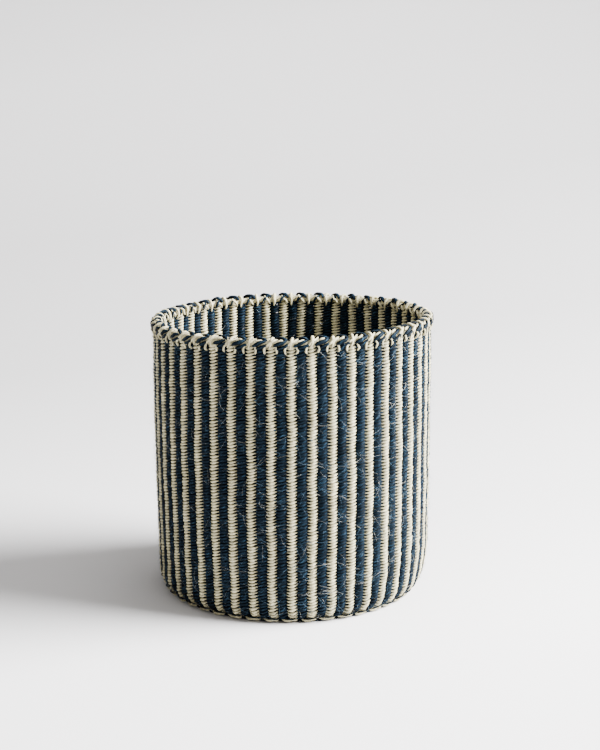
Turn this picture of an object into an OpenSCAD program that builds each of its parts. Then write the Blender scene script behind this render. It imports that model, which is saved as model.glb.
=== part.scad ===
// Open round storage basket, twined from two colours of sisal twine.
//
// How it is made: 44 folded cords, the warps, start at the middle of the base. Each gives two
// spokes, so 88 spokes run out across the base, turn up at the heel and stand in the wall. A pair
// of weft strands, one cream and one navy, is twisted round every spoke in turn. With an even
// number of spokes each colour always shows over the same ones, which makes the upright stripes.
// The spoke ends are gathered into a ring at the rim and laced over.
//
// Origin: the middle of the underside. +Z is up. All sizes are millimetres.

/* [Body] */
// Outer diameter of the wall at the rim
top_d = 250; // [180:1:320]
// Outer diameter of the wall just above the heel
foot_d = 248; // [170:1:320]
// Height from the floor to the top of the rim
body_h = 250; // [150:1:340]
// Wall and base thickness: weft, warp and weft again
wall_t = 8; // [7.4:0.1:9]
// Radius of the turn from base to wall, on the outside
heel_r = 15; // [14:0.5:22]

/* [Warps] */
// Sectors of the base, each with four folded cords, or eight spokes
sector_count = 11; // [9:1:12]
// Diameter of a warp cord
warp_d = 2.6; // [2:0.1:2.6]
// Distance from the middle to where the first cords fold
first_fold_r = 12; // [11.5:0.5:14]
// Distance from the middle to where the second cords are added
second_fold_r = 32; // [30:1:38]
// Distance from the middle to where the third cords are added
third_fold_r = 62; // [58:1:68]

/* [Weft] */
// Thickness of one weft layer
weft_t = 2.6; // [2.2:0.05:2.6]
// How far a stitch column is crowned
crown = 0.5; // [0.3:0.1:0.8]

/* [Rim] */
// Radius of the finished rim roll, lacing included
rim_r = 4.8; // [4.2:0.1:5.4]
// Thickness of the lacing round the rim core
lacing_t = 1.6; // [1.2:0.1:1.8]

/* [Hidden] */
$fn = 48;
cream = "#d9d2b4";
navy = "#25364c";
natural = "#b9ad8a";

spokes_per_sector = 8;
spoke_count = sector_count * spokes_per_sector;
cord_count = spoke_count / 2;
spoke_step = 360 / spoke_count;

rim_level = body_h - rim_r;              // height of the middle of the rim roll
wall_top = body_h - 2 * rim_r;
lean = atan((top_d - foot_d) / 2 / (wall_top - heel_r));    // the wall leans out by this angle
warp_level = wall_t / 2;                 // the warps lie in the middle of the base
heel_inner_r = foot_d / 2 - heel_r;      // where the flat of the base ends

start_ring_r = 4.4;                      // starting ring, to the middle of its cord
start_ring_cord_r = 3;
base_clear = 0.2;                        // the base weft stops this short of the starting ring
core_clear = 0.1;                        // room between the rim core and its lacing
through = 1;                             // a cut runs this far past the face that it opens

turn_stitch_r = 1.2;                     // the long stitches of the turning course
turn_stitch_l = 6.2;
turn_angle = 50;                         // how far round the heel the turning course lies

bend_r = heel_r - warp_level;            // the warps turn up on this radius
bend_run = bend_r * cos(lean);           // how far out the turn takes them
bend_rise = bend_r * (1 - sin(lean));    // and how far up
foot_r = heel_inner_r + bend_run;        // the warps start up the wall at this radius
foot_level = warp_level + bend_rise;     // and at this height
wall_l = (wall_top - foot_level) / cos(lean);    // length of the wall along its lean
rim_circle_r = foot_r + wall_l * sin(lean);      // radius of the middle of the rim roll
bend_d = warp_d + 0.16;                  // a cord spreads a little where it bends
lap = 0.4;                               // the straight lengths run this far into the bends

// The four cords of a sector: place of the middle line, counted in spokes; half of the spread
// between the two spokes at the wall, counted in spokes; distance to the fold; radius of the fold
sector_cords = [
    [3.5, 3.5, first_fold_r, 1.7],
    [3.5, 0.5, second_fold_r, 2.2],
    [1.5, 0.5, third_fold_r, 2.2],
    [5.5, 0.5, third_fold_r, 2.2]
];

function two_digits(n) = n < 10 ? str("0", n) : str(n);
function warp_name(n) = str("warp_cord_", two_digits(n + 1));

// ---------------------------------------------------------------- warps

// Each cord is drawn about its own middle line, which is turned to this angle
function cord_middle(n) =
    (floor(n / len(sector_cords)) * spokes_per_sector + sector_cords[n % len(sector_cords)][0]) * spoke_step;

// Angle of a leg to the middle line, so that it leaves the fold smoothly and ends under its place
// in the wall
function leg_angle(fold_x, fold_r, spread) =
    let (x = foot_r * cos(spread) - fold_x, y = foot_r * sin(spread))
    atan2(y, x) - asin(fold_r / norm([x, y]));

// One spoke: straight out across the base, round the heel and up the wall
module spoke(length)
    translate([0, 0, warp_level]) {
        translate([-lap, 0, 0])
            rotate([0, 90, 0])
                cylinder(d = warp_d, h = length - bend_run + 2 * lap);
        translate([length - bend_run, 0, bend_r])
            rotate([90, 0, 0])
                rotate([0, 0, -90])
                    rotate_extrude(angle = 90 - lean)
                        translate([bend_r, 0])
                            circle(d = bend_d);
        translate([length, 0, bend_rise])
            rotate([0, lean, 0])
                translate([0, 0, -lap])
                    cylinder(d = warp_d, h = wall_l + lap);
    }

module folded_cord(fold_x, fold_r, spread) {
    turn = leg_angle(fold_x, fold_r, spread);
    start = [fold_x - fold_r * sin(turn), fold_r * cos(turn)];
    foot = foot_r * [cos(spread), sin(spread)];
    for (side = [0, 1])
        mirror([0, side, 0])
            translate([start.x, start.y, 0])
                rotate([0, 0, turn])
                    spoke(norm(foot - start));
    translate([fold_x, 0, warp_level])
        rotate([0, 0, 90 + turn])
            rotate_extrude(angle = 180 - 2 * turn)
                translate([fold_r, 0])
                    circle(d = bend_d);
}

module warp_cord(n) {
    cord = sector_cords[n % len(sector_cords)];
    color(natural)
        rotate([0, 0, cord_middle(n)])
            folded_cord(cord[2], cord[3], cord[1] * spoke_step);
}

// ---------------------------------------------------------------- base

module starting_ring()
    color(navy)
        translate([0, 0, warp_level])
            rotate_extrude()
                translate([start_ring_r, 0])
                    circle(r = start_ring_cord_r);

// One layer of base weft, a flat ring
module base_layer(r_in, r_out, level)
    translate([0, 0, level])
        difference() {
            cylinder(r = r_out, h = weft_t);
            translate([0, 0, -through])
                cylinder(r = r_in, h = weft_t + 2 * through);
        }

ring_edges = [start_ring_r + start_ring_cord_r + base_clear, second_fold_r, third_fold_r, heel_inner_r];

module base_weft_cream(ring)
    color(cream)
        base_layer(ring_edges[ring], ring_edges[ring + 1], wall_t - weft_t);

module base_weft_navy(ring)
    color(navy)
        base_layer(ring_edges[ring], ring_edges[ring + 1], 0);

// ---------------------------------------------------------------- heel

// One spoke's share of a rounded layer of weft that carries the base up into the leaning wall
module heel_patch(k, r_out) {
    reach = 2 * heel_r;
    rotate([0, 0, (k - 0.5) * spoke_step])
        rotate_extrude(angle = spoke_step)
            translate([heel_inner_r, heel_r])
                intersection() {
                    difference() {
                        circle(r = r_out);
                        circle(r = r_out - weft_t);
                    }
                    polygon([[0, 0], [0, -reach], [reach, -reach], [reach, -reach * tan(lean)]]);
                }
}

// As in the wall, a strand shows outside over every second spoke and inside over the others
module heel_weft(first, shade)
    color(shade)
        for (k = [0 : spoke_count - 1])
            heel_patch(k, k % 2 == first ? heel_r : heel_r - wall_t + weft_t);

// A long stitch of the course that marks the turn, lying along the heel
module turn_stitch(a)
    rotate([0, 0, a])
        translate([
            heel_inner_r + (heel_r + turn_stitch_r) * cos(turn_angle),
            0,
            heel_r - (heel_r + turn_stitch_r) * sin(turn_angle)
        ])
            rotate([90, 0, 0]) {
                cylinder(r = turn_stitch_r, h = turn_stitch_l, center = true);
                for (end = [-1, 1])
                    translate([0, 0, end * turn_stitch_l / 2])
                        sphere(r = turn_stitch_r);
            }

module turning_course(first, shade)
    color(shade)
        for (k = [first : 2 : spoke_count - 1])
            turn_stitch(k * spoke_step);

// ---------------------------------------------------------------- wall

// Section of one column of stitches, flat on the warp side and crowned on the open side
module column_section(w) {
    crown_r = (w * w / 4 + crown * crown) / (2 * crown);
    intersection() {
        translate([0, -w / 2])
            square([weft_t, w]);
        translate([weft_t - crown_r, 0])
            circle(r = crown_r, $fn = 96);
    }
}

// A column stands on the heel, leans with the wall, and faces out or in
module column(k, facing) {
    near_r = foot_r + (facing > 0 ? wall_t / 2 - weft_t : -wall_t / 2);
    rotate([0, 0, k * spoke_step])
        translate([foot_r, 0, foot_level])
            rotate([0, lean, 0])
                mirror([facing > 0 ? 0 : 1, 0, 0])
                    translate([wall_t / 2 - weft_t, 0, 0])
                        linear_extrude(wall_l)
                            column_section(2 * near_r * tan(spoke_step / 2));
}

module wall_weft(first, shade)
    color(shade)
        for (k = [0 : spoke_count - 1])
            column(k, k % 2 == first ? 1 : -1);

// ---------------------------------------------------------------- rim

module rim_core()
    color(natural)
        translate([0, 0, rim_level])
            rotate_extrude()
                translate([rim_circle_r, 0])
                    circle(r = rim_r - lacing_t);

// One wrap of lacing over the core
module lacing_wrap(k)
    rotate([0, 0, k * spoke_step])
        translate([rim_circle_r, 0, rim_level])
            rotate([90, 0, 0])
                linear_extrude(2 * (rim_circle_r - rim_r) * tan(spoke_step / 2), center = true)
                    difference() {
                        circle(r = rim_r);
                        circle(r = rim_r - lacing_t + core_clear);
                    }

module rim_lacing(first, shade)
    color(shade)
        for (k = [first : 2 : spoke_count - 1])
            lacing_wrap(k);

// ---------------------------------------------------------------- the basket

for (n = [0 : cord_count - 1])
    warp_cord(n);
starting_ring();
base_weft_cream(0);  // base_weft_cream_inner
base_weft_cream(1);  // base_weft_cream_middle
base_weft_cream(2);  // base_weft_cream_outer
base_weft_navy(0);  // base_weft_navy_inner
base_weft_navy(1);  // base_weft_navy_middle
base_weft_navy(2);  // base_weft_navy_outer
heel_weft(0, cream);  // heel_weft_cream
heel_weft(1, navy);  // heel_weft_navy
turning_course(0, cream);  // turning_course_cream
turning_course(1, navy);  // turning_course_navy
wall_weft(0, cream);  // wall_weft_cream
wall_weft(1, navy);  // wall_weft_navy
rim_core();
rim_lacing(0, cream);  // rim_lacing_cream
rim_lacing(1, navy);  // rim_lacing_navy
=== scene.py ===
"""Looks of an open round basket, twined by hand from cream and navy sisal twine.

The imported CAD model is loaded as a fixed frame, and every size that the model holds is read from
it. Two weft strands run as one spiral from the middle of the base to the rim, and change places
between every two warp cords, so each colour shows outside over every second cord. The strands,
the cords, the laced rim and the loose fibres are swept tubes, because a twined fabric has no
primitive that it could be shaped from.
"""

import math

import bpy
import numpy as np
from bpy.props import FloatProperty, FloatVectorProperty, IntProperty, PointerProperty
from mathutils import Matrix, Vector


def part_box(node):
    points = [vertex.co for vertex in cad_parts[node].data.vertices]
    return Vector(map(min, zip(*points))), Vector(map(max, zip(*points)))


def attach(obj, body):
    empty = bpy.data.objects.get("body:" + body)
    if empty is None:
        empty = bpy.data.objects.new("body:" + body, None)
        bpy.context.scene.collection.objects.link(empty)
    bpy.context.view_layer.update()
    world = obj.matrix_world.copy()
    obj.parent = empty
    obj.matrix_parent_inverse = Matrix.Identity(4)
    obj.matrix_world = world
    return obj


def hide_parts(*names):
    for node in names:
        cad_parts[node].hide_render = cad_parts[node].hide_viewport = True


bl_info = {
    "name": "Twined sisal basket",
    "version": (1, 0, 0),
    "blender": (4, 5, 0),
    "location": "View3D > Sidebar > Basket",
    "description": "Makes a striped, hand-twined sisal basket round its CAD frame",
    "category": "Object",
}

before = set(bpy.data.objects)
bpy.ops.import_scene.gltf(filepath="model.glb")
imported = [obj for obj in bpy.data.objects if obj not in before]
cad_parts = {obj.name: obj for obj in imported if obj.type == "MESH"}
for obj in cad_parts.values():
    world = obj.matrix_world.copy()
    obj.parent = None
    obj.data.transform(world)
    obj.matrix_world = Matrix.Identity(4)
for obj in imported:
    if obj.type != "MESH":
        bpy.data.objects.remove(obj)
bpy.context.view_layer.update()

MM = 0.001

# ------------------------------------------------------------------ sizes read from the frame

WALL_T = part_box("base_weft_cream_outer")[1].z
FLAT_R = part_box("base_weft_cream_outer")[1].x
SECOND_FOLD_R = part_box("base_weft_cream_inner")[1].x
THIRD_FOLD_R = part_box("base_weft_cream_middle")[1].x
HEEL_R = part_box("heel_weft_cream")[1].x - FLAT_R
WALL_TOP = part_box("wall_weft_cream")[1].z
CORE_LOW, CORE_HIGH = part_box("rim_core")
RIM_LEVEL = (CORE_LOW.z + CORE_HIGH.z) / 2
CORE_R = (CORE_HIGH.z - CORE_LOW.z) / 2
RIM_CIRCLE_R = CORE_HIGH.x - CORE_R
RIM_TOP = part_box("rim_lacing_cream")[1].z
ROLL_R = RIM_TOP - RIM_LEVEL
START_RING_OUTER_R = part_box("starting_ring")[1].x
START_RING_CORD_R = (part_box("starting_ring")[1].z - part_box("starting_ring")[0].z) / 2

BEND_R = HEEL_R - WALL_T / 2
RISE = WALL_TOP - HEEL_R
RUN = RIM_CIRCLE_R - FLAT_R
LEAN = math.atan2(RUN, RISE) - math.asin(BEND_R / math.hypot(RUN, RISE))
BEND_ANGLE = math.pi / 2 - LEAN
FOOT_R = FLAT_R + BEND_R * math.cos(LEAN)
FOOT_LEVEL = HEEL_R - BEND_R * math.sin(LEAN)
HEEL_LENGTH = BEND_R * BEND_ANGLE
WALL_LENGTH = (WALL_TOP - FOOT_LEVEL) / math.cos(LEAN)

# ------------------------------------------------------------------ how the cords are laid out

SECTORS = 11
SPOKES_PER_SECTOR = 8
SPOKES = SECTORS * SPOKES_PER_SECTOR
STEP = 2 * math.pi / SPOKES

# The four cords of a sector: middle line and half spread in spokes, distance and radius of the fold
CORDS = (
    (3.5, 3.5, 12 * MM, 1.7 * MM),
    (3.5, 0.5, SECOND_FOLD_R, 2.2 * MM),
    (1.5, 0.5, THIRD_FOLD_R, 2.2 * MM),
    (5.5, 0.5, THIRD_FOLD_R, 2.2 * MM),
)

# The places in a sector that have a spoke in each ring of the base, with the cord and its side
INNER_SPOKES = ((0, -1), (0, 1))
MIDDLE_SPOKES = ((0, -1), (1, -1), (1, 1), (0, 1))
OUTER_SPOKES = ((0, -1), (2, -1), (2, 1), (1, -1), (1, 1), (3, -1), (3, 1), (0, 1))


def leg_turn(cord):
    """Angle between a cord's middle line and its leg, which leaves the fold smoothly."""
    _, spread, fold_x, fold_r = cord
    x = FOOT_R * math.cos(spread * STEP) - fold_x
    y = FOOT_R * math.sin(spread * STEP)
    return math.atan2(y, x) - math.asin(fold_r / math.hypot(x, y))


def leg_offset(cord):
    """Distance by which the line of a leg misses the basket's axis."""
    return cord[3] - cord[2] * math.sin(leg_turn(cord))


class SpokeRing:
    """The spokes that a ring of weft passes, in order, and their angles at any radius."""

    def __init__(self, places):
        spokes = [(sector, cord, side) for sector in range(SECTORS) for cord, side in places]
        self.count = len(spokes)
        self.middle = np.array([(s * SPOKES_PER_SECTOR + CORDS[c][0]) * STEP for s, c, _ in spokes])
        self.side = np.array([side for _, _, side in spokes], float)
        self.turn = np.array([leg_turn(CORDS[c]) for _, c, _ in spokes])
        self.offset = np.array([leg_offset(CORDS[c]) for _, c, _ in spokes])

    def spoke_angle(self, index, radius):
        """Angle of a spoke at a radius; the index may count on past one turn."""
        k = index % self.count
        reach = np.minimum(radius, FOOT_R)
        leg = self.turn[k] + np.arcsin(self.offset[k] / reach)
        return self.middle[k] + self.side[k] * leg + 2 * math.pi * (index // self.count)

    def angle(self, place, radius):
        """Angle of a place given in spokes, such as 2.5 for half way from spoke 2 to spoke 3."""
        index = np.floor(place).astype(int)
        before = self.spoke_angle(index, radius)
        after = self.spoke_angle(index + 1, radius)
        return before + (place - index) * (after - before)


def on_wall_line(s):
    """The middle line of base, heel and wall: radius, height, and the way along it and out of it."""
    bend = np.clip((s - FLAT_R) / BEND_R, 0, BEND_ANGLE)
    climb = np.maximum(s - FLAT_R - HEEL_LENGTH, 0)
    radius = np.minimum(s, FLAT_R) + BEND_R * np.sin(bend) + climb * math.sin(LEAN)
    level = HEEL_R - BEND_R * np.cos(bend) + climb * math.cos(LEAN)
    return radius, level, np.cos(bend), np.sin(bend)


def around(angle, radius, level):
    """Points from angle, radius and height."""
    return np.stack([radius * np.cos(angle), radius * np.sin(angle), level], axis=-1)


# ------------------------------------------------------------------ the unevenness of handwork

# Waves round the basket, waves per metre up it, start, and share of the whole
WANDER_WAVES = (
    (2, 4, 0.4, 0.26), (5, -11, 2.1, 0.2), (9, 17, 4.4, 0.18), (16, -23, 1.2, 0.14),
    (27, 31, 5.3, 0.12), (41, -19, 3.7, 0.1)
)

# Different starts of the same waves, for the wall's swell, the stripes and the rim
SWELL_START = 1.7
STRIPE_START = 0.0
RIM_START = 3.1

# How far round the oval's long way lies, and how much of the unevenness the rim's level takes
OVAL_TURN = 0.6
RIM_WAVE_SHARE = 0.8


def waves(angle, level, start):
    """A smooth, repeatable unevenness between about -1 and 1."""
    total = 0
    for round_count, per_metre, phase, share in WANDER_WAVES:
        wave_angle = round_count * angle + 2 * math.pi * per_metre * level + phase + start
        total = total + share * np.sin(wave_angle)
    return total


def by_hand(points):
    """Points of the true shape, moved as the hand-made basket is out of true."""
    look = bpy.context.scene.sisal_basket
    radius = np.hypot(points[..., 0], points[..., 1])
    angle = np.arctan2(points[..., 1], points[..., 0])
    level = points[..., 2]
    height = np.clip(level / RIM_TOP, 0, 1)

    # The wall is a little oval towards the top, wavy, and fullest at half its height
    oval = np.sin(2 * angle + OVAL_TURN) * height
    swell = look.unevenness * (0.5 * waves(angle, level, SWELL_START) + 0.5 * oval)
    swell = (swell + look.belly * np.sin(math.pi * height)) * np.clip(level / HEEL_R, 0, 1)

    # The heel is pressed in, most of all on its soft side
    low = np.clip(1 - level / look.slump_height, 0, 1) ** 2
    softness = (0.5 + 0.5 * np.cos(angle - look.slump_side)) ** 2
    slump = look.heel_slump * low * softness * (radius / FLAT_R) ** 2

    aside = look.stripe_wander * waves(angle, level, STRIPE_START) * np.clip(radius / FLAT_R, 0, 1)
    tilt = look.rim_drop_left * np.cos(angle) - look.rim_rise_front * np.sin(angle)
    rim_wave = look.unevenness * RIM_WAVE_SHARE * waves(angle, 0 * level, RIM_START)
    lift = height * (look.rim_lift + tilt + rim_wave)
    turned = angle + aside / np.maximum(radius, FLAT_R / 2)
    moved = around(turned, radius + swell - slump, level + lift)
    moved[..., 0] += look.foot_shift * (1 - height) ** 2
    return moved


# ------------------------------------------------------------------ swept tubes


def unit(vectors):
    """The same ways, each of length one."""
    return vectors / np.maximum(np.linalg.norm(vectors, axis=-1, keepdims=True), 1e-12)


def tube_rings(centres, up, half_up, half_out, sides, plies=0.0, ply_turn=0.0):
    """Rings of points round lines of centres. up gives the way of the section's first axis."""
    along = unit(np.gradient(centres, axis=-2))
    up = unit(up - (up * along).sum(-1, keepdims=True) * along)
    out = np.cross(along, up)
    a = np.arange(sides) * 2 * math.pi / sides
    swell = 1 + plies * np.cos(2 * (a - np.expand_dims(np.asarray(ply_turn), -1)))
    first = np.expand_dims(np.asarray(half_up), -1) * np.cos(a) * swell
    second = np.expand_dims(np.asarray(half_out), -1) * np.sin(a) * swell
    raised = first[..., None] * up[..., None, :]
    pushed_out = second[..., None] * out[..., None, :]
    return centres[..., None, :] + raised + pushed_out


# How much further along its twine each tube of a piece starts, in metres, so no two look alike
MAP_STAGGER = 0.37


def add_tubes(name, rings, depth, material, closed=False):
    """One mesh of tubes from rings of points, shaped tube, ring, side, xyz.

    depth is how deep in the weave each ring lies, from 0 on a crest to 1 between two cords; the finishes
    darken the deeper rings with painted shade.
    """
    tubes, count, sides = rings.shape[:3]
    points = by_hand(rings)
    index = np.arange(tubes * count * sides).reshape(tubes, count, sides)
    if closed:
        index = np.concatenate([index, index[:, :1]], axis=1)
    here, there = index[:, :-1], index[:, 1:]
    quads = np.stack([here, np.roll(here, -1, 2), np.roll(there, -1, 2), there], -1).reshape(-1, 4)
    caps = np.zeros((0, sides), int)
    if not closed:
        caps = np.concatenate([index[:, 0, ::-1], index[:, -1]])
    corners = np.concatenate([quads.ravel(), caps.ravel()])
    starts = np.concatenate([np.arange(len(quads)) * 4, len(quads) * 4 + np.arange(len(caps)) * sides])

    mesh = bpy.data.meshes.new(name)
    mesh.vertices.add(index.max() + 1)
    mesh.vertices.foreach_set("co", points.astype(np.float32).ravel())
    mesh.loops.add(len(corners))
    mesh.loops.foreach_set("vertex_index", corners.astype(np.int32))
    mesh.polygons.add(len(starts))
    mesh.polygons.foreach_set("loop_start", starts.astype(np.int32))
    mesh.update(calc_edges=True)
    mesh.shade_smooth()

    # The map runs along the strand in metres, and round it from 0 to 1
    step = np.linalg.norm(np.diff(points.mean(2), axis=1), axis=-1)
    length = np.concatenate([np.zeros((tubes, 1)), np.cumsum(step, axis=1)], axis=1)
    length = length + np.arange(tubes)[:, None] * MAP_STAGGER
    if closed:
        length = np.concatenate([length, length[:, -1:] + step[:, -1:]], axis=1)
    side = np.arange(sides) / sides
    u = np.broadcast_to(length[..., None], length.shape + (sides,))
    v = np.broadcast_to(side, length.shape + (sides,))
    v_next = v + 1 / sides
    quad_uv = np.stack([
        np.stack([u[:, :-1], v[:, :-1]], -1),
        np.stack([u[:, :-1], v_next[:, :-1]], -1),
        np.stack([u[:, 1:], v_next[:, 1:]], -1),
        np.stack([u[:, 1:], v[:, 1:]], -1),
    ], axis=-2).reshape(-1, 2)
    cap_uv = np.zeros((caps.size, 2))
    layer = mesh.uv_layers.new(name="along_strand")
    layer.data.foreach_set("uv", np.concatenate([quad_uv, cap_uv]).astype(np.float32).ravel())
    deep = mesh.attributes.new("deep", "FLOAT", "POINT")
    spread = np.broadcast_to(np.asarray(depth)[..., None], (tubes, count, sides))
    deep.data.foreach_set("value", spread.astype(np.float32).ravel())

    piece = bpy.data.objects.new(name, mesh)
    bpy.context.scene.collection.objects.link(piece)
    piece.data.materials.append(material)
    return piece


def place(piece, slot, *nodes):
    """Parents a finished piece to the root body, and hides the frame's parts that it stands for."""
    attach(piece, "root")
    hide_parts(*nodes)


# ------------------------------------------------------------------ finishes

# Fibres wind round the strand once in about 14 mm, and show as long streaks
WINDS_PER_METRE = 70.0
STREAKS_PER_METRE = 55.0
STREAKS_ROUND = 9.0
STREAK_SCALE = 2.2
PATCH_SCALE = 42.0
SPECK_SCALE = 420.0
LOOSE_PATCH_SCALE = 160.0

STREAK_RELIEF = 0.35 * MM
RELIEF_STRENGTH = 0.7
DULLEST_EXTRA_ROUGHNESS = 0.18
TWINE_IOR = 1.25
LOOSE_ROUGHNESS = 0.45


def add_node(tree, kind, **values):
    """A new shader node with some of its settings."""
    node = tree.nodes.new(kind)
    for name, value in values.items():
        setattr(node, name, value)
    return node


def feed(tree, value, socket):
    """Gives a socket its value: another node's output, a number, or a colour."""
    if isinstance(value, bpy.types.NodeSocket):
        tree.links.new(value, socket)
    elif isinstance(value, tuple):
        socket.default_value = opaque(value)
    else:
        socket.default_value = value


def opaque(colour):
    """A colour with full cover."""
    return (*colour, 1)


def scaled(colour, factor):
    """A lighter or darker colour."""
    return tuple(min(1.0, channel * factor) for channel in colour)


def grey(level):
    """A neutral colour, which darkens what it multiplies."""
    return (level, level, level)


def math_on(tree, operation, *values):
    """The output of a Math node."""
    node = add_node(tree, "ShaderNodeMath", operation=operation)
    for value, socket in zip(values, node.inputs):
        feed(tree, value, socket)
    return node.outputs["Value"]


def share_on(tree, value, low, high, first=0.0, last=1.0):
    """A value between low and high, turned into one between first and last."""
    node = add_node(tree, "ShaderNodeMapRange")
    for name, given in (
        ("Value", value), ("From Min", low), ("From Max", high), ("To Min", first), ("To Max", last)
    ):
        feed(tree, given, node.inputs[name])
    return node.outputs["Result"]


def noise_on(tree, coordinates, scale, detail=3.0):
    """Smooth noise between 0 and 1."""
    node = add_node(tree, "ShaderNodeTexNoise")
    feed(tree, coordinates, node.inputs["Vector"])
    feed(tree, scale, node.inputs["Scale"])
    feed(tree, detail, node.inputs["Detail"])
    return node.outputs["Fac"]


def ramp_on(tree, factor, stops):
    """A colour that changes with a factor. stops is a list of (factor, colour)."""
    node = add_node(tree, "ShaderNodeValToRGB")
    ramp = node.color_ramp
    while len(ramp.elements) < len(stops):
        ramp.elements.new(0.5)
    for element, (position, colour) in zip(ramp.elements, stops):
        element.position = position
        element.color = opaque(colour)
    feed(tree, factor, node.inputs["Fac"])
    return node.outputs["Color"]


def mix_colours(tree, blend, factor, first, second):
    """Two colours mixed. A Mix node keeps its colours in inputs 6 and 7 and in output 2."""
    node = add_node(tree, "ShaderNodeMix", data_type="RGBA", blend_type=blend)
    feed(tree, factor, node.inputs["Factor"])
    feed(tree, first, node.inputs[6])
    feed(tree, second, node.inputs[7])
    return node.outputs[2]


def new_material(name):
    """A material, its node tree and its shader."""
    material = bpy.data.materials.new(name)
    material.use_nodes = True
    tree = material.node_tree
    return material, tree, tree.nodes["Principled BSDF"]


def sisal(name, shadow, body, glint, glint_from, hollow_shade, hollow_shade_from, edge, gloss, shine):
    """Sisal twine: long fibres that wind along the strand, with a painted highlight on the lightest
    streaks, patches of darker tone, and painted shade in the hollows and along the row edges.
    """
    material, tree, shader = new_material(name)
    strand_map = add_node(tree, "ShaderNodeUVMap", uv_map="along_strand")
    split = add_node(tree, "ShaderNodeSeparateXYZ")
    feed(tree, strand_map.outputs["UV"], split.inputs["Vector"])
    along, round_strand = split.outputs["X"], split.outputs["Y"]

    fibre_place = add_node(tree, "ShaderNodeCombineXYZ")
    wind = math_on(tree, "MULTIPLY_ADD", along, WINDS_PER_METRE, round_strand)
    feed(tree, math_on(tree, "MULTIPLY", along, STREAKS_PER_METRE), fibre_place.inputs["X"])
    feed(tree, math_on(tree, "MULTIPLY", wind, STREAKS_ROUND), fibre_place.inputs["Y"])
    streak = noise_on(tree, fibre_place.outputs["Vector"], STREAK_SCALE, 4.0)
    # The lightest fibre streaks are given a painted highlight, the glint colour
    streak_stops = [(0.36, shadow), (glint_from - 0.16, body), (glint_from, glint)]

    where = add_node(tree, "ShaderNodeTexCoord").outputs["Object"]
    patch = noise_on(tree, where, PATCH_SCALE, 3.0)
    speck = noise_on(tree, where, SPECK_SCALE, 2.0)
    patch_colour = ramp_on(tree, patch, [(0.36, grey(0.72)), (0.64, grey(1.0))])
    speck_colour = ramp_on(tree, speck, [(0.4, grey(0.84)), (0.6, grey(1.0))])
    colour = ramp_on(tree, streak, streak_stops)
    colour = mix_colours(tree, "MULTIPLY", 1.0, colour, patch_colour)
    colour = mix_colours(tree, "MULTIPLY", 1.0, colour, speck_colour)

    # Painted shade: the hollows where the strands change places, where little light reaches, are
    # darkened towards the hollow colour by the deep attribute
    deep = add_node(tree, "ShaderNodeAttribute", attribute_name="deep", attribute_type="GEOMETRY")
    hollow_shade_share = share_on(tree, deep.outputs["Fac"], hollow_shade_from, 1.0)
    colour = mix_colours(tree, "MIX", hollow_shade_share, colour, hollow_shade)

    # Painted shade also darkens the strand's upper and lower edge, between one row and the next, where
    # little light reaches
    wave = math_on(tree, "COSINE", math_on(tree, "MULTIPLY", round_strand, 2 * math.pi))
    edge_shade_share = math_on(tree, "ABSOLUTE", wave)
    edge_shade_colour = ramp_on(tree, edge_shade_share, [(0.35, grey(1.0)), (0.8, grey(edge))])
    colour = mix_colours(tree, "MULTIPLY", 1.0, colour, edge_shade_colour)
    feed(tree, colour, shader.inputs["Base Color"])

    rough = share_on(tree, streak, 0.0, 1.0, gloss + DULLEST_EXTRA_ROUGHNESS, gloss)
    feed(tree, rough, shader.inputs["Roughness"])
    bump = add_node(tree, "ShaderNodeBump")
    bump.inputs["Strength"].default_value = RELIEF_STRENGTH
    bump.inputs["Distance"].default_value = STREAK_RELIEF
    feed(tree, streak, bump.inputs["Height"])
    feed(tree, bump.outputs["Normal"], shader.inputs["Normal"])
    shader.inputs["Specular IOR Level"].default_value = shine
    shader.inputs["IOR"].default_value = TWINE_IOR
    return material


def finish(slot):
    """The material of one of the twines, made the first time it is asked for."""
    look = bpy.context.scene.sisal_basket
    name = slot.replace("sisal", "twine")
    found = bpy.data.materials.get(name)
    if found:
        return found
    # Each twine is given a painted highlight on its lightest fibre streaks, and painted shade in its
    # hollows and along its row edges
    if name == "navy_twine":
        body = tuple(look.navy)
        return sisal(
            name, shadow=scaled(body, 0.35), body=body, glint=tuple(look.navy_painted_glint), glint_from=0.74,
            hollow_shade=scaled(body, 0.12), hollow_shade_from=0.4, edge=0.2, gloss=0.42, shine=0.1
        )
    body = tuple(look.cream)
    # Painted shade for the hollows: the natural cords lie deep in the weave and are painted nearly black
    # there
    hollow_shade = scaled(body, 0.2) if name == "cream_twine" else scaled(body, 0.05)
    # The cream's painted highlight is half as bright again as its body colour
    return sisal(
        name, shadow=scaled(body, 0.5), body=body, glint=scaled(body, 1.5), glint_from=0.66,
        hollow_shade=hollow_shade, hollow_shade_from=0.72, edge=0.66, gloss=0.45, shine=0.35
    )


def fibre(name, colour):
    """A single loose fibre: thin, pale along some of its length, and a little glossy."""
    material, tree, shader = new_material(name)
    where = add_node(tree, "ShaderNodeTexCoord").outputs["Object"]
    patch = noise_on(tree, where, LOOSE_PATCH_SCALE)
    shade = ramp_on(tree, patch, [(0.38, scaled(colour, 0.5)), (0.62, scaled(colour, 1.2))])
    feed(tree, shade, shader.inputs["Base Color"])
    shader.inputs["Roughness"].default_value = LOOSE_ROUGHNESS
    return material


# ------------------------------------------------------------------ settings


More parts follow.
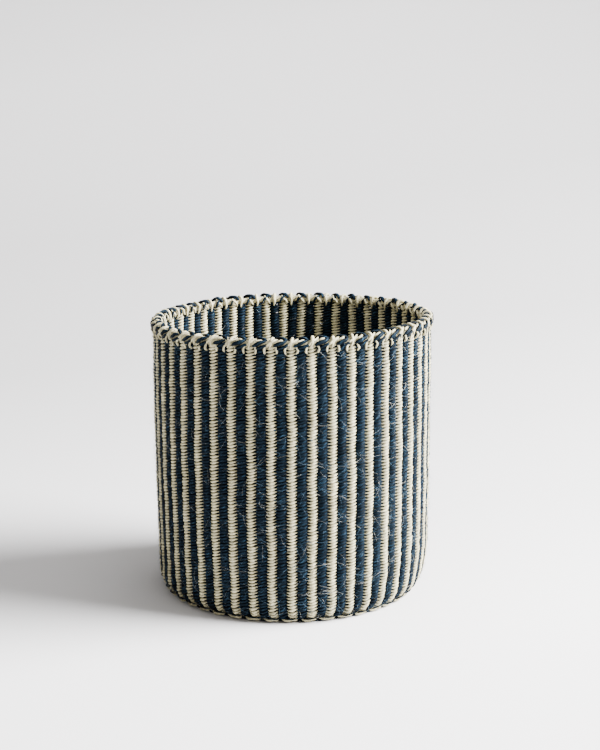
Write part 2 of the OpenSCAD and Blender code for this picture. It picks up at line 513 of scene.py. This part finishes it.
class BasketSettings(bpy.types.PropertyGroup):
    """Sizes and colours of the twine and the view."""

    row_height: FloatProperty(
        name="Row height", description="Height of one row of weft",
        default=2.75 * MM, unit="LENGTH"
    )
    strand_thickness: FloatProperty(
        name="Strand thickness", description="Thickness of a weft strand through the wall",
        default=2.5 * MM, unit="LENGTH"
    )
    cream_stitch_height: FloatProperty(
        name="Cream stitch", description="Height of a cream stitch at its middle",
        default=3.15 * MM, unit="LENGTH"
    )
    navy_stitch_height: FloatProperty(
        name="Navy stitch", description="Height of a navy stitch at its middle",
        default=3.15 * MM, unit="LENGTH"
    )
    cream_crossing_height: FloatProperty(
        name="Cream crossing", description="Height of the cream strand where the two change places",
        default=0.9 * MM, unit="LENGTH"
    )
    navy_crossing_height: FloatProperty(
        name="Navy crossing", description="Height of the navy strand where the two change places",
        default=2.95 * MM, unit="LENGTH"
    )
    cream_point: FloatProperty(
        name="Cream point", description="How pointed the cream stitches are",
        default=2.4, min=0.5, max=3
    )
    navy_point: FloatProperty(
        name="Navy point", description="How pointed the navy stitches are",
        default=0.8, min=0.5, max=3
    )
    run_into_rim: FloatProperty(
        name="Run into rim", description="How far the weft goes on inside the rim",
        default=4.0 * MM, unit="LENGTH"
    )
    cord_thickness: FloatProperty(
        name="Cord thickness", description="Diameter of a warp cord",
        default=2.5 * MM, unit="LENGTH"
    )
    rings_per_stitch: IntProperty(
        name="Rings per stitch", description="Sections that shape each stitch",
        default=6, min=4, max=10
    )
    unevenness: FloatProperty(
        name="Unevenness", description="How far the wall is out of round",
        default=1.0 * MM, unit="LENGTH"
    )
    stripe_wander: FloatProperty(
        name="Stripe wander", description="How far the stripes stray sideways",
        default=1.0 * MM, unit="LENGTH"
    )
    rim_drop_left: FloatProperty(
        name="Rim drop", description="How much lower the left of the rim is",
        default=2.2 * MM, unit="LENGTH"
    )
    rim_rise_front: FloatProperty(
        name="Rim rise", description="How much higher the front of the rim is",
        default=2.5 * MM, unit="LENGTH"
    )
    rim_flatness: FloatProperty(
        name="Rim flatness", description="Share of its round depth that the rim roll keeps",
        default=0.85, min=0.5, max=1
    )
    rim_lift: FloatProperty(
        name="Rim lift", description="How much higher the whole rim is",
        default=0.3 * MM, unit="LENGTH"
    )
    belly: FloatProperty(
        name="Belly", description="How far the wall bulges at half its height",
        default=1.2 * MM, unit="LENGTH"
    )
    foot_shift: FloatProperty(
        name="Foot shift", description="How far the foot stands to the right",
        default=1.2 * MM, unit="LENGTH"
    )
    heel_slump: FloatProperty(
        name="Heel slump", description="How far the heel is pressed in on its soft side",
        default=5.5 * MM, unit="LENGTH"
    )
    slump_height: FloatProperty(
        name="Slump height", description="How far up the heel is pressed in",
        default=50 * MM, unit="LENGTH"
    )
    slump_side: FloatProperty(
        name="Slump side", description="Where round the basket the heel is softest",
        default=-0.2, subtype="ANGLE"
    )
    cream_fibre_count: IntProperty(
        name="Cream fibres", description="Number of loose cream fibres",
        default=1300, min=0, max=4000
    )
    navy_fibre_count: IntProperty(
        name="Navy fibres", description="Number of loose navy fibres",
        default=3400, min=0, max=4000
    )
    cream_fibre: FloatVectorProperty(
        name="Cream fibre", description="Colour of the loose cream fibres",
        default=(0.42, 0.42, 0.38), subtype="COLOR"
    )
    navy_fibre: FloatVectorProperty(
        name="Navy fibre", description="Colour of the loose navy fibres",
        default=(0.07, 0.14, 0.21), subtype="COLOR"
    )
    cream: FloatVectorProperty(
        name="Cream", description="Colour of the undyed twine",
        default=(0.64, 0.585, 0.365), subtype="COLOR"
    )
    navy: FloatVectorProperty(
        name="Navy", description="Colour of the dyed twine",
        default=(0.0056, 0.0135, 0.0235), subtype="COLOR"
    )
    # Painted highlight: the colour given to the lightest navy fibre streaks, where light glints on them
    navy_painted_glint: FloatVectorProperty(
        name="Navy glint", description="Colour of its lightest fibres",
        default=(0.05, 0.13, 0.215), subtype="COLOR"
    )
    backdrop: FloatVectorProperty(
        name="Backdrop", description="Colour of floor and backdrop",
        default=(0.69, 0.68, 0.685), subtype="COLOR"
    )
    camera_distance: FloatProperty(
        name="Camera distance", description="From the basket's axis", default=1.5, unit="LENGTH"
    )
    camera_height: FloatProperty(
        name="Camera height", description="Above the floor", default=0.5345, unit="LENGTH"
    )
    camera_aside: FloatProperty(
        name="Camera aside", description="To the right of the basket's axis",
        default=7.2 * MM, unit="LENGTH"
    )
    camera_pitch: FloatProperty(
        name="Camera pitch", description="How far the camera looks down",
        default=0.223, subtype="ANGLE"
    )
    camera_lens: FloatProperty(
        name="Lens", description="Focal length in millimetres", default=81.2
    )


# ------------------------------------------------------------------ warp cords

# Distance between a cord's sections, and how far its two plies stand out and turn at each section
CORD_SPACING = 3.5 * MM
CORD_SIDES = 8
PLY_SHARE = 0.1
PLY_TURN = 1.3


def cord_path(cord, spacing):
    """Points along one folded cord, from the rim down, round the base's fold and up again."""
    _, _, fold_x, fold_r = cord
    turn = leg_turn(cord)
    start = np.array([fold_x - fold_r * math.sin(turn), fold_r * math.cos(turn)])
    way = np.array([math.cos(turn), math.sin(turn)])
    leg = math.sqrt(FOOT_R ** 2 - leg_offset(cord) ** 2) - start @ way
    flat = leg - BEND_R * math.cos(LEAN)
    whole = flat + HEEL_LENGTH + WALL_LENGTH
    s = np.linspace(0, whole, int(whole / spacing))
    radius, level, _, _ = on_wall_line(s + FLAT_R - flat)
    ahead = start + (radius - FLAT_R + flat)[:, None] * way
    leg_points = np.column_stack([ahead, level])
    half_turn = np.linspace(math.pi / 2 + turn, 3 * math.pi / 2 - turn, 8)[1:-1]
    fold = np.column_stack([
        fold_x + fold_r * np.cos(half_turn),
        fold_r * np.sin(half_turn),
        np.full(len(half_turn), WALL_T / 2),
    ])
    other = leg_points * np.array([1, -1, 1])
    return np.concatenate([leg_points[::-1], fold, other])


class BASKET_OT_warp_cords(bpy.types.Operator):
    """Make the folded cords that the basket is twined on"""

    bl_idname = "basket.warp_cords"
    bl_label = "Warp cords"

    def execute(self, context):
        look = context.scene.sisal_basket
        half = look.cord_thickness / 2
        for number in range(SECTORS * len(CORDS)):
            cord = CORDS[number % len(CORDS)]
            path = cord_path(cord, CORD_SPACING)
            middle = (number // len(CORDS) * SPOKES_PER_SECTOR + cord[0]) * STEP
            turned = np.column_stack([
                path[:, 0] * math.cos(middle) - path[:, 1] * math.sin(middle),
                path[:, 0] * math.sin(middle) + path[:, 1] * math.cos(middle),
                path[:, 2],
            ])

            # The small slants keep the section's first axis from ever lying along the cord
            sideways = unit(np.gradient(turned, axis=0)) + np.array([0.013, 0.017, 0.011])
            up = np.cross(sideways, [math.sin(middle), -math.cos(middle), 0.02])
            ply_turn = np.arange(len(turned)) * PLY_TURN
            rings = tube_rings(turned[None], up[None], half, half, CORD_SIDES, PLY_SHARE, ply_turn[None])
            name = f"warp_cord_{number + 1:02d}"
            # Painted shade: every ring of a cord counts as deep in the weave, so its finish paints the
            # whole cord in the dark hollow colour
            deep = np.ones((1, len(turned)))
            piece = add_tubes(f"twisted_{name}", rings, deep, finish("natural_sisal"))
            place(piece, "natural_sisal", name)
        return {"FINISHED"}


# ------------------------------------------------------------------ weft

# How uneven single stitches are: in height, in depth, up or down, and sideways as a share of a spoke
STITCH_FATNESS = 0.15
STITCH_SINK = 0.28 * MM
STITCH_SLIP = 0.2 * MM
STITCH_ASIDE = 0.08
UNEVEN_TABLE_SIZE = 4099

# How quickly a strand bows out to its crest, how much of the wall's thickness it takes up, and its
# thickness at a crossing as a share of that on a crest
WEFT_SIDES = 6
BOW_POWER = 0.72
REACH_SHARE = 0.98
THIN_SHARE = 0.62


def weft_stretch(shade, spokes, first_row, last_row, start, row_height):
    """Rings of points along a strand, over a number of turns round the basket."""
    look = bpy.context.scene.sisal_basket
    phase, crossing_height, stitch_height, point = {
        "cream": (0.0, look.cream_crossing_height, look.cream_stitch_height, look.cream_point),
        "navy": (math.pi, look.navy_crossing_height, look.navy_stitch_height, look.navy_point),
    }[shade]
    per_stitch = look.rings_per_stitch
    count = int(round((last_row - first_row) * spokes.count * per_stitch)) + 1

    # w counts the spokes passed; crest is 1 outside a spoke, -1 inside one and 0 between two
    w = first_row * spokes.count + np.arange(count) / per_stitch
    crest = np.cos(math.pi * w + phase)
    shift = np.sin(math.pi * w + phase)
    stitch = np.floor(w + 0.5).astype(int)

    # Each kind of unevenness has a seed of its own
    fatness = 1 + STITCH_FATNESS * uneven(stitch, 11)
    sink = STITCH_SINK * uneven(stitch, 12)
    slip = STITCH_SLIP * uneven(stitch, 13)
    aside = STITCH_ASIDE * uneven(stitch, 14)

    s = start + row_height * w / spokes.count
    s = s + shift * row_height / 4 + slip * np.abs(crest)
    radius, level, climb_r, climb_z = on_wall_line(s)
    angle = spokes.angle(w + aside * np.abs(crest), radius)
    bow = np.sign(crest) * np.abs(crest) ** BOW_POWER
    out = bow * (WALL_T - look.strand_thickness) / 2 * REACH_SHARE + sink * crest
    centres = around(angle, radius + out * climb_z, level - out * climb_r)
    along_wall = np.stack([climb_r * np.cos(angle), climb_r * np.sin(angle), climb_z], -1)
    open_share = np.abs(crest) ** point
    tall = crossing_height + (stitch_height - crossing_height) * open_share
    thick = look.strand_thickness * (THIN_SHARE + (1 - THIN_SHARE) * open_share)
    half_tall = (tall / 2 * fatness)[None]
    rings = tube_rings(centres[None], along_wall[None], half_tall, (thick / 2)[None], WEFT_SIDES)
    # The second result is how deep each ring lies in the weave, which the finishes darken with painted
    # shade
    return rings, (1 - np.abs(crest))[None]


def uneven(stitch, seed):
    """A steady random number between -1 and 1 for each stitch."""
    table = np.random.default_rng(seed).uniform(-1, 1, UNEVEN_TABLE_SIZE)
    return table[stitch % UNEVEN_TABLE_SIZE]


class BASKET_OT_weft(bpy.types.Operator):
    """Twine the two weft strands through base, heel and wall"""

    bl_idname = "basket.weft"
    bl_label = "Weft"

    def execute(self, context):
        look = context.scene.sisal_basket
        first_r = START_RING_OUTER_R + look.strand_thickness / 2
        rings = (
            ("inner", SpokeRing(INNER_SPOKES), first_r, SECOND_FOLD_R),
            ("middle", SpokeRing(MIDDLE_SPOKES), SECOND_FOLD_R, THIRD_FOLD_R),
        )
        for shade in ("cream", "navy"):
            slot = f"{shade}_sisal"
            for zone, spokes, start, end in rings:
                rows = round((end - start) / look.row_height)
                shape, depth = weft_stretch(shade, spokes, 0, rows, start, (end - start) / rows)
                piece = add_tubes(f"base_twining_{shade}_{zone}", shape, depth, finish(slot))
                place(piece, slot, f"base_weft_{shade}_{zone}")

            spokes = SpokeRing(OUTER_SPOKES)
            whole = FLAT_R + HEEL_LENGTH + WALL_LENGTH - THIRD_FOLD_R
            row_height = whole / round(whole / look.row_height)
            rows = round((whole + look.run_into_rim) / row_height)
            wall_start = round((FLAT_R + HEEL_LENGTH - THIRD_FOLD_R) / row_height)
            band = (rows - wall_start) / 3
            bands = (
                ("base_and_heel", 0, wall_start, (f"base_weft_{shade}_outer", f"heel_weft_{shade}")),
                ("wall_lower", wall_start, wall_start + band, (f"wall_weft_{shade}",)),
                ("wall_middle", wall_start + band, wall_start + 2 * band, (f"wall_weft_{shade}",)),
                ("wall_upper", wall_start + 2 * band, rows, (f"wall_weft_{shade}",)),
            )
            for band_name, first, last, nodes in bands:
                shape, depth = weft_stretch(shade, spokes, first, last, THIRD_FOLD_R, row_height)
                piece = add_tubes(f"{band_name}_twining_{shade}", shape, depth, finish(slot))
                place(piece, slot, *nodes)
        return {"FINISHED"}


# ------------------------------------------------------------------ start of the base

WINDING_R = 0.9 * MM
WINDING_TURNS = 15
WINDING_SECTIONS = 360
WINDING_SIDES = 6


class BASKET_OT_start(bpy.types.Operator):
    """Make the wound ring that the first cords hang on"""

    bl_idname = "basket.start"
    bl_label = "Starting ring"

    def execute(self, context):
        ring_r = START_RING_OUTER_R - START_RING_CORD_R
        reach = START_RING_CORD_R - WINDING_R
        a = np.linspace(0, 2 * math.pi, WINDING_SECTIONS, endpoint=False)
        on_crest = np.zeros((1, len(a)))
        for shade, phase in (("navy", 0.0), ("cream", math.pi)):
            slot = f"{shade}_sisal"
            winding = a * WINDING_TURNS + phase
            centres = around(a, ring_r + reach * np.cos(winding), WALL_T / 2 + reach * np.sin(winding))
            up = np.broadcast_to([0.0, 0.05, 1.0], centres.shape)
            rings = tube_rings(centres[None], up[None], WINDING_R, WINDING_R, WINDING_SIDES)
            name = f"starting_ring_winding_{shade}"
            piece = add_tubes(name, rings, on_crest, finish(slot), closed=True)
            place(piece, slot, "starting_ring")
        return {"FINISHED"}


# ------------------------------------------------------------------ short stitches

# How far each point of a short stitch strays, and how much thinner the stitch is at its ends
STITCH_WAVER_MM = 0.3
STITCH_TAPER = 0.55
STITCH_TAPER_POWER = 3
STITCH_SIZE_SPREAD = (0.88, 1.12)
STITCH_SIDES = 8
# How deep in the weave a stitch's ends count, which the finishes darken with painted shade
STITCH_END_DEPTH = 0.6

# The turning course lies this far round the heel from its outermost line
TURNING_ANGLE = math.radians(50)

# Sets of short stitches. Each has its name, the colour of its twine, its first spoke, half its
# width and half its thickness in millimetres, the seed of its unevenness, its number of sections,
# and its route: how far aside, up and out its points lie from the spoke, in millimetres
TURNING_STITCHES = (
    (
        "turning_course_long_stitches", "cream", 0, 1.3, 1.0, 21, 12,
        ((1.8, 1.2, -0.7), (-1.0, -0.2, 0.8), (-5.4, -0.9, 0.9), (-9.4, -1.5, -0.4)),
    ),
    (
        "turning_course_toes", "cream", 0, 1.15, 0.9, 22, 12,
        ((-1.4, 0.8, 0.2), (1.6, 0.0, 0.8), (4.4, -1.3, -0.2)),
    ),
    (
        "turning_course_shadow_stitches", "navy", 0, 0.75, 0.7, 24, 12,
        ((6.0, 2.6, -0.5), (2.0, 1.9, 0.55), (-3.0, 1.5, 0.55), (-6.5, 1.0, -0.5)),
    ),
    (
        "turning_course_navy_stitches", "navy", 1, 1.0, 0.8, 23, 12,
        ((6.0, -0.8, -0.9), (2.0, -2.6, 0.4), (-4.0, -3.2, 0.4), (-9.0, -2.6, -0.9)),
    ),
)
RIM_STITCHES = (
    (
        "rim_wraps_cream", "cream", 0, 1.4, 1.1, 31, 20,
        ((-1.0, -3.6, 4.4), (-0.4, -0.4, 5.2), (0.4, 2.8, 4.5), (1.0, 4.7, 1.4), (1.3, 4.3, -2.2),
         (1.2, 1.6, -4.7), (0.9, -2.2, -5.3), (1.4, -5.8, -4.3)),
    ),
    (
        "rim_caps_cream", "cream", 0, 1.1, 0.95, 32, 14,
        ((-5.2, -1.8, 4.6), (-2.6, 0.4, 5.4), (0.4, 2.4, 5.0), (3.2, 3.7, 3.5), (5.6, 4.4, 1.4)),
    ),
    (
        "rim_left_legs_cream", "cream", 0, 1.0, 0.95, 36, 12,
        ((-3.6, -0.4, 4.8), (-5.0, -3.0, 5.3), (-5.2, -5.2, 5.1), (-4.4, -7.4, 3.8)),
    ),
    (
        "rim_right_legs_cream", "cream", 0, 1.0, 0.95, 37, 12,
        ((3.8, -0.8, 4.8), (5.1, -3.2, 5.3), (5.3, -5.4, 5.1), (4.7, -7.6, 3.8)),
    ),
    (
        "rim_rope_upper_navy", "navy", 1, 1.7, 1.25, 33, 12,
        ((-6.4, -1.2, 5.0), (-3.2, 0.4, 6.1), (0.8, 2.2, 5.8), (4.8, 3.6, 4.4)),
    ),
    (
        "rim_rope_lower_navy", "navy", 1, 1.3, 1.05, 34, 12,
        ((-5.0, -3.9, 4.8), (-0.8, -2.4, 5.7), (3.6, -0.6, 5.8), (7.2, 0.8, 4.8)),
    ),
    (
        "rim_rope_tufts_cream", "cream", 1, 1.05, 0.9, 38, 12,
        ((-3.4, 2.7, 4.4), (-1.0, 3.6, 4.0), (1.6, 4.2, 3.2)),
    ),
    (
        "rim_arches_navy", "navy", 1, 1.9, 1.4, 35, 14,
        ((-4.6, 1.6, -4.2), (-2.8, 4.3, -2.6), (0.2, 5.0, -0.8), (3.0, 4.6, 0.8), (5.4, 3.2, 2.0)),
    ),
    (
        "rim_inner_wraps_navy", "navy", 1, 1.3, 1.0, 39, 12,
        ((-1.4, 4.2, -2.4), (1.0, 2.6, -4.5), (3.2, 0.2, -5.3), (4.4, -3.2, -4.6)),
    ),
    (
        "rim_inner_wraps_cream", "cream", 1, 1.1, 0.9, 40, 12,
        ((3.0, 3.8, -3.6), (1.0, 1.8, -5.0), (-1.4, -0.9, -5.6), (-3.2, -3.8, -4.6)),
    ),
)


def smooth_path(points, count):
    """A smooth curve through a few points, as that many points."""
    before = 2 * points[0] - points[1]
    after = 2 * points[-1] - points[-2]
    knots = np.concatenate([[before], points, [after]])
    t = np.linspace(0, len(points) - 1 - 1e-9, count)
    i = t.astype(int)
    f = (t - i)[:, None]
    p0, p1, p2, p3 = knots[i], knots[i + 1], knots[i + 2], knots[i + 3]
    square = 2 * p0 - 5 * p1 + 4 * p2 - p3
    cube = 3 * p1 - p0 - 3 * p2 + p3
    return 0.5 * (2 * p1 + (p2 - p0) * f + square * f ** 2 + cube * f ** 3)


def sew(stitch_sets, node, to_basket):
    """Make sets of short stitches, one stitch at every second spoke, for one CAD part."""
    for name, shade, first_spoke, half_width, half_thick, seed, count, route in stitch_sets:
        rng = np.random.default_rng(seed)
        paths = []
        outs = []
        for spoke in range(first_spoke, SPOKES, 2):
            wavering = np.asarray(route) + rng.normal(0, STITCH_WAVER_MM, (len(route), 3))
            points, out = to_basket(spoke, smooth_path(wavering, count) * MM)
            paths.append(points)
            outs.append(out)
        centres = np.stack(paths)
        along = unit(np.gradient(centres, axis=-2))
        up = np.cross(np.stack(outs), along)
        t = np.linspace(-1, 1, count)
        size = rng.uniform(*STITCH_SIZE_SPREAD, (len(paths), 1))
        taper = (1 - STITCH_TAPER * np.abs(t) ** STITCH_TAPER_POWER) * size
        rings = tube_rings(
            centres, up, half_width * MM * taper, half_thick * MM * taper, STITCH_SIDES
        )
        # Painted shade: the ends of each stitch count as deep in the weave
        depth = np.broadcast_to(np.abs(t) ** 4 * STITCH_END_DEPTH, taper.shape)
        slot = f"{shade}_sisal"
        place(add_tubes(name, rings, depth, finish(slot)), slot, f"{node}_{shade}")


def at_rim(spoke, local):
    """Places on the rim roll: aside, above the middle of the roll, and out from it."""
    radius = RIM_CIRCLE_R + local[:, 2] * bpy.context.scene.sisal_basket.rim_flatness
    level = RIM_LEVEL + local[:, 1]
    angle = spoke * STEP + local[:, 0] / RIM_CIRCLE_R
    out = local[:, [2, 1]]
    out = out / np.maximum(np.linalg.norm(out, axis=1, keepdims=True), 1e-9)
    return around(angle, radius, level), around(angle, out[:, 0], out[:, 1])


def at_heel(spoke, local):
    """Places on the heel: aside, up round the turn from the turning course, and out from its skin."""
    turn = TURNING_ANGLE - local[:, 1] / HEEL_R
    reach = HEEL_R + local[:, 2]
    angle = spoke * STEP + local[:, 0] / FOOT_R
    points = around(angle, FLAT_R + reach * np.cos(turn), HEEL_R - reach * np.sin(turn))
    return points, around(angle, np.cos(turn), -np.sin(turn))


class BASKET_OT_turning_course(bpy.types.Operator):
    """Make the row of long stitches where the base turns up into the wall"""

    bl_idname = "basket.turning_course"
    bl_label = "Turning course"

    def execute(self, context):
        sew(TURNING_STITCHES, "turning_course", at_heel)
        return {"FINISHED"}


# ------------------------------------------------------------------ rim

# The gathered cord ends: number of strands, radius as a share of the core's, turns and sections
CORE_STRANDS = 4
CORE_STRAND_SHARE = 0.45
CORE_TURNS = 33
CORE_SECTIONS = 528


class BASKET_OT_rim(bpy.types.Operator):
    """Make the gathered cord ends in the rim and the lacing over them"""

    bl_idname = "basket.rim"
    bl_label = "Rim"

    def execute(self, context):
        self.core()
        sew(RIM_STITCHES, "rim_lacing", at_rim)
        return {"FINISHED"}

    def core(self):
        """Four strands of cord ends, laid round each other inside the rim."""
        strand_r = CORE_R * CORE_STRAND_SHARE
        a = np.linspace(0, 2 * math.pi, CORE_SECTIONS, endpoint=False)
        lay = np.arange(CORE_STRANDS)[:, None] * math.pi / 2 + a * CORE_TURNS
        reach = CORE_R - strand_r
        centres = around(a[None], RIM_CIRCLE_R + reach * np.cos(lay), RIM_LEVEL + reach * np.sin(lay))
        up = np.broadcast_to([0.0, 0.03, 1.0], centres.shape)
        rings = tube_rings(centres, up, strand_r, strand_r, CORD_SIDES)
        on_crest = np.zeros(lay.shape)
        piece = add_tubes("rim_core_strands", rings, on_crest, finish("natural_sisal"), closed=True)
        place(piece, "natural_sisal", "rim_core")


# ------------------------------------------------------------------ loose fibres

FIBRE_POINTS = 8
FIBRE_SIDES = 3
FIBRE_R = 0.05 * MM

# The share of the fibres that are on the outside, and how far along the heel's skin they begin
OUTSIDE_SHARE = 0.8
LOWEST_SHARE = 0.3

# Shape and scale of the spread of lengths, and of the distances the fibres stand off the twine
LENGTH_SPREAD = (3.0, 4.2 * MM)
SHORTEST_FIBRE = 3 * MM
LIFT_SPREAD = (2.0, 0.8 * MM)
HEADING_SPREAD = 0.9
CURL_SPREAD = 0.6
ROOT_DEPTH = 0.6 * MM
FLOOR_GAP = 0.3 * MM


class BASKET_OT_loose_fibres(bpy.types.Operator):
    """Make the fine loose fibres that stand off the twine"""

    bl_idname = "basket.loose_fibres"
    bl_label = "Loose fibres"

    def execute(self, context):
        look = context.scene.sisal_basket
        self.scatter("cream", look.cream_fibre_count, look.cream_fibre, 41)
        self.scatter("navy", look.navy_fibre_count, look.navy_fibre, 42)
        return {"FINISHED"}

    def scatter(self, shade, number, colour, seed):
        """Fibres of one colour, each rooted in the wall and drifting along it."""
        rng = np.random.default_rng(seed)
        each = (number, 1)
        t = np.linspace(0, 1, FIBRE_POINTS)
        highest = FLAT_R + HEEL_LENGTH + WALL_LENGTH + ROLL_R
        s = rng.uniform(FLAT_R + HEEL_LENGTH * LOWEST_SHARE, highest, each)
        angle = rng.uniform(0, 2 * math.pi, each)
        face = np.where(rng.uniform(size=each) < OUTSIDE_SHARE, 1.0, -1.0)
        length = rng.gamma(*LENGTH_SPREAD, each) + SHORTEST_FIBRE
        heading = rng.normal(0, HEADING_SPREAD, each)
        heading = heading + np.where(rng.uniform(size=each) < 0.5, 0, math.pi)
        curl = rng.normal(0, CURL_SPREAD, each)
        lift = rng.gamma(*LIFT_SPREAD, each)

        way = heading + curl * t
        aside = np.cumsum(np.cos(way), 1) / FIBRE_POINTS * length
        along = np.cumsum(np.sin(way), 1) / FIBRE_POINTS * length
        radius, level, climb_r, climb_z = on_wall_line(np.clip(s + along, FLAT_R, highest))
        arc = np.sin(math.pi * np.minimum(t * 1.3, 1)) ** 0.8
        out = face * (WALL_T / 2 - ROOT_DEPTH + lift * arc)
        above_floor = np.maximum(level - out * climb_r, FLOOR_GAP)
        centres = around(angle + aside / radius, radius + out * climb_z, above_floor)
        up = np.broadcast_to([0.03, 0.02, 1.0], centres.shape)
        thin = FIBRE_R * (1 - 0.5 * t)
        rings = tube_rings(centres, up, thin, thin, FIBRE_SIDES)
        on_crest = np.zeros((number, FIBRE_POINTS))
        material = fibre(f"{shade}_fibre", tuple(colour))
        piece = add_tubes(f"loose_fibres_{shade}", rings, on_crest, material)
        place(piece, f"{shade}_sisal", f"wall_weft_{shade}")


# ------------------------------------------------------------------ stage

SHEET_SIZE = 8
SHEET_RISE = 4
SWEEP_WIDTH = 3.4
SWEEP_SEGMENTS = 48
SHEET_ROUGHNESS = 0.9
SHEET_SPECULAR = 0.2

# Painted shade on the sheet, changing from the front right to the back left over this range in metres
SHADE_WAY = (-0.4, 1.0, 0.0)
SHADE_FROM = -0.3
SHADE_TO = 2.5
SHEET_PAINTED_SHADES = ((0.04, 1.0), (0.16, 0.84), (0.46, 0.68), (0.68, 0.74), (0.93, 1.0))

SKY_COLOUR = (1.0, 0.975, 0.95)
SKY_STRENGTH = 0.52
LIGHT_SPREAD = math.radians(130)
SENSOR_WIDTH = 36

# Name, place, target, size in metres and power in watts
LIGHTS = (
    ("window_light", (2.4, -0.1, 1.7), (0, 0, 0.15), 2.1, 560.0),
    ("soft_top", (0.6, 0.9, 2.6), (0, 0.2, 0.1), 1.8, 12.0),
    ("inside_fill", (0.0, -0.1, 0.62), (0, 0.12, 0.18), 0.25, 0.7),
)


class BASKET_OT_stage(bpy.types.Operator):
    """Add the floor, the light and the camera"""

    bl_idname = "basket.stage"
    bl_label = "Stage"

    def execute(self, context):
        look = context.scene.sisal_basket
        self.floor(look)
        self.sky()
        for light in LIGHTS:
            self.light(*light)
        bpy.ops.object.camera_add(
            location=(look.camera_aside, -look.camera_distance, look.camera_height),
            rotation=(math.pi / 2 - look.camera_pitch, 0, 0)
        )
        camera = context.object
        camera.data.lens = look.camera_lens
        camera.data.sensor_width = SENSOR_WIDTH
        context.scene.camera = camera
        return {"FINISHED"}

    def floor(self, look):
        """A pale sheet that lies under the basket and curves up far behind it."""
        bpy.ops.object.select_all(action="DESELECT")
        bpy.ops.mesh.primitive_plane_add(size=SHEET_SIZE, location=(0, 0, 0))
        sheet = bpy.context.object
        sheet.name = "studio_sheet"
        bpy.ops.object.mode_set(mode="EDIT")
        bpy.ops.mesh.select_mode(type="EDGE")
        bpy.ops.mesh.select_all(action="DESELECT")
        bpy.ops.object.mode_set(mode="OBJECT")
        for edge in sheet.data.edges:
            edge.select = all(sheet.data.vertices[v].co.y > 0 for v in edge.vertices)
        bpy.ops.object.mode_set(mode="EDIT")
        bpy.ops.mesh.extrude_region_move(TRANSFORM_OT_translate={"value": (0, 0, SHEET_RISE)})
        bpy.ops.object.mode_set(mode="OBJECT")
        bevel = sheet.modifiers.new("sweep", "BEVEL")
        bevel.width = SWEEP_WIDTH
        bevel.segments = SWEEP_SEGMENTS
        bpy.ops.object.modifier_apply(modifier=bevel.name)
        bpy.ops.object.shade_smooth()
        sheet.data.materials.append(self.paper(tuple(look.backdrop)))

    def paper(self, colour):
        """The sheet's matt finish, with painted shade that makes it a little darker in the middle
        distance.
        """
        material, tree, shader = new_material("pale_sheet")
        where = add_node(tree, "ShaderNodeTexCoord").outputs["Object"]
        away = add_node(tree, "ShaderNodeVectorMath", operation="DOT_PRODUCT")
        away.inputs[1].default_value = SHADE_WAY
        feed(tree, where, away.inputs[0])
        far = share_on(tree, away.outputs["Value"], SHADE_FROM, SHADE_TO)
        stops = [(position, scaled(colour, share)) for position, share in SHEET_PAINTED_SHADES]
        feed(tree, ramp_on(tree, far, stops), shader.inputs["Base Color"])
        shader.inputs["Roughness"].default_value = SHEET_ROUGHNESS
        shader.inputs["Specular IOR Level"].default_value = SHEET_SPECULAR
        return material

    def sky(self):
        """Even, slightly warm light from all round."""
        world = bpy.data.worlds.new("studio")
        bpy.context.scene.world = world
        world.use_nodes = True
        background = world.node_tree.nodes["Background"]
        background.inputs["Color"].default_value = opaque(SKY_COLOUR)
        background.inputs["Strength"].default_value = SKY_STRENGTH

    def light(self, name, location, target, size, power):
        """A soft round light, turned towards its target."""
        bpy.ops.object.light_add(type="AREA", location=location)
        light = bpy.context.object
        light.name = name
        light.data.shape = "DISK"
        light.data.size = size
        light.data.energy = power
        light.data.spread = LIGHT_SPREAD
        aim = np.array(target) - np.array(location)
        yaw = math.atan2(aim[1], aim[0]) - math.pi / 2
        pitch = math.atan2(aim[2], math.hypot(aim[0], aim[1]))
        light.rotation_euler = (math.pi / 2 + pitch, 0, yaw)


# ------------------------------------------------------------------ panel and registration


class BASKET_PT_panel(bpy.types.Panel):
    """Lists the basket's settings and the pieces it is made of"""

    bl_idname = "BASKET_PT_panel"
    bl_label = "Twined basket"
    bl_space_type = "VIEW_3D"
    bl_region_type = "UI"
    bl_category = "Basket"

    def draw(self, context):
        look = context.scene.sisal_basket
        for name in BasketSettings.__annotations__:
            self.layout.prop(look, name)
        for operator in OPERATORS:
            self.layout.operator(operator.bl_idname)


OPERATORS = (
    BASKET_OT_warp_cords,
    BASKET_OT_weft,
    BASKET_OT_start,
    BASKET_OT_turning_course,
    BASKET_OT_rim,
    BASKET_OT_loose_fibres,
    BASKET_OT_stage,
)
CLASSES = (BasketSettings, *OPERATORS, BASKET_PT_panel)


def register():
    for cls in CLASSES:
        bpy.utils.register_class(cls)
    bpy.types.Scene.sisal_basket = PointerProperty(type=BasketSettings)


def unregister():
    del bpy.types.Scene.sisal_basket
    for cls in reversed(CLASSES):
        bpy.utils.unregister_class(cls)


def main():
    register()
    bpy.ops.object.select_all(action="DESELECT")
    bpy.ops.basket.warp_cords()
    bpy.ops.basket.weft()
    bpy.ops.basket.start()
    bpy.ops.basket.turning_course()
    bpy.ops.basket.rim()
    bpy.ops.basket.loose_fibres()
    bpy.ops.basket.stage()


if __name__ == "__main__":
    main()
